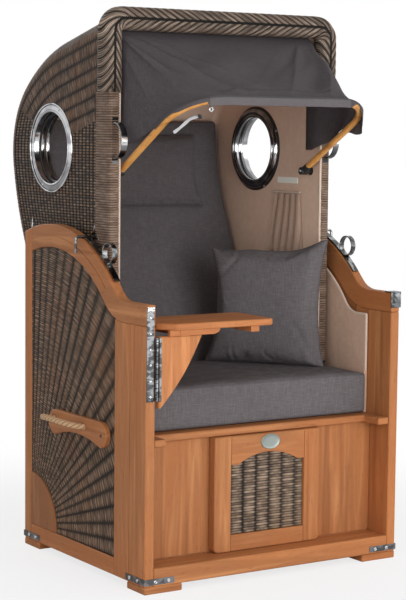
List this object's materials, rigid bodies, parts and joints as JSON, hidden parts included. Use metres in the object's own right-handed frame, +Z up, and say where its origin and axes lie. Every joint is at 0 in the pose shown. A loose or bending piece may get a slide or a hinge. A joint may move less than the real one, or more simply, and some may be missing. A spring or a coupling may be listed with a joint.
{
  "type": "hooded beach chair",
  "caption": "Hooded wicker and teak beach chair with reclining hood, folding awning, swinging side table and pull-out footrest.",
  "frame": {"origin": "centre of the bounding box on the floor", "axes": "+Z up, -Y to the front, where the seat opens; +X to the sitter's left, away from the table"},
  "size_m": [1.017, 0.9599, 1.612],
  "materials": {
    "teak": "oiled reddish teak with open grain",
    "wicker": "grey-brown mottled synthetic wicker, woven",
    "braid": "light brown plaited synthetic wicker",
    "grey_fabric": "dark grey outdoor weave",
    "beige_fabric": "beige outdoor lining",
    "chrome": "polished stainless steel",
    "steel": "satin stainless steel",
    "rope": "laid tan rope",
    "bow_wood": "bent wood, clear varnish"
  },
  "bodies": {
    "base": {"left_front_stile": "teak", "right_front_stile": "teak", "left_rear_stile": "teak", "right_rear_stile": "teak", "left_bottom_rail": "teak", "right_bottom_rail": "teak", "left_top_rail": "teak", "right_top_rail": "teak", "left_corner_gusset": "teak", "right_corner_gusset": "teak", "left_wicker_panel": "wicker", "right_wicker_panel": "wicker", "left_side_lining": "beige_fabric", "right_side_lining": "beige_fabric", "left_rope_plate": "teak", "right_rope_plate": "teak", "left_rope_handle": "rope", "right_rope_handle": "rope", "left_pivot_bracket": "steel", "right_pivot_bracket": "steel", "left_front_foot": "teak", "right_front_foot": "teak", "left_rear_foot": "teak", "right_rear_foot": "teak", "left_front_band": "steel", "right_front_band": "steel", "left_rear_band": "steel", "right_rear_band": "steel", "front_bottom_rail": "teak", "rear_bottom_rail": "teak", "rear_panel": "wicker", "seat_board": "teak", "front_panel": "teak", "seat_front_rail": "teak", "right_arm_cap": "chrome", "seat_cushion": "grey_fabric", "throw_pillow": "grey_fabric", "hinge_post_leaf": "chrome"},
    "hood": {"hood_shell": "wicker", "hood_roof": "wicker", "hood_braid": "braid", "hood_lining": "beige_fabric", "left_window_ring": "chrome", "right_window_ring": "chrome", "left_hood_handle": "chrome", "right_hood_handle": "chrome", "left_bar_plate": "chrome", "right_bar_plate": "chrome", "back_cushion": "grey_fabric", "headrest_cushion": "grey_fabric", "awning_fabric": "grey_fabric"},
    "awning": {"awning_bow": "bow_wood"},
    "left_bar": {"left_recline_bar": "chrome"},
    "right_bar": {"right_recline_bar": "chrome"},
    "table": {"table_top": "teak", "table_bracket": "teak", "hinge_table_leaf": "chrome"},
    "footrest": {"footrest_front": "teak", "footrest_wicker": "wicker", "footrest_box": "teak"}
  },
  "joints": [
    {"name": "hood_recline", "type": "hinge", "parent": "base", "child": "hood", "pos_m": [0, 0.0911, 0.491], "axis": [-1, 0, 0], "range_deg": [0, 32]},
    {"name": "awning_swing", "type": "hinge", "parent": "hood", "child": "awning", "pos_m": [0, -0.1143, 1.145], "axis": [-1, 0, 0], "range_deg": [-20, 40], "deforming": ["awning_fabric"]},
    {"name": "left_bar_lift", "type": "hinge", "parent": "hood", "child": "left_bar", "pos_m": [0, -0.0891, 0.9603], "axis": [-1, 0, 0], "range_deg": [0, 25]},
    {"name": "right_bar_lift", "type": "hinge", "parent": "hood", "child": "right_bar", "pos_m": [0, -0.0891, 0.9603], "axis": [-1, 0, 0], "range_deg": [0, 25]},
    {"name": "table_swing", "type": "hinge", "parent": "base", "child": "table", "pos_m": [-0.405, -0.4614, 0.65], "axis": [0, 0, -1], "range_deg": [0, 110]},
    {"name": "footrest_slide", "type": "slide", "parent": "base", "child": "footrest", "axis": [0, -1, 0], "range_m": [0, 0.4]}
  ]
}
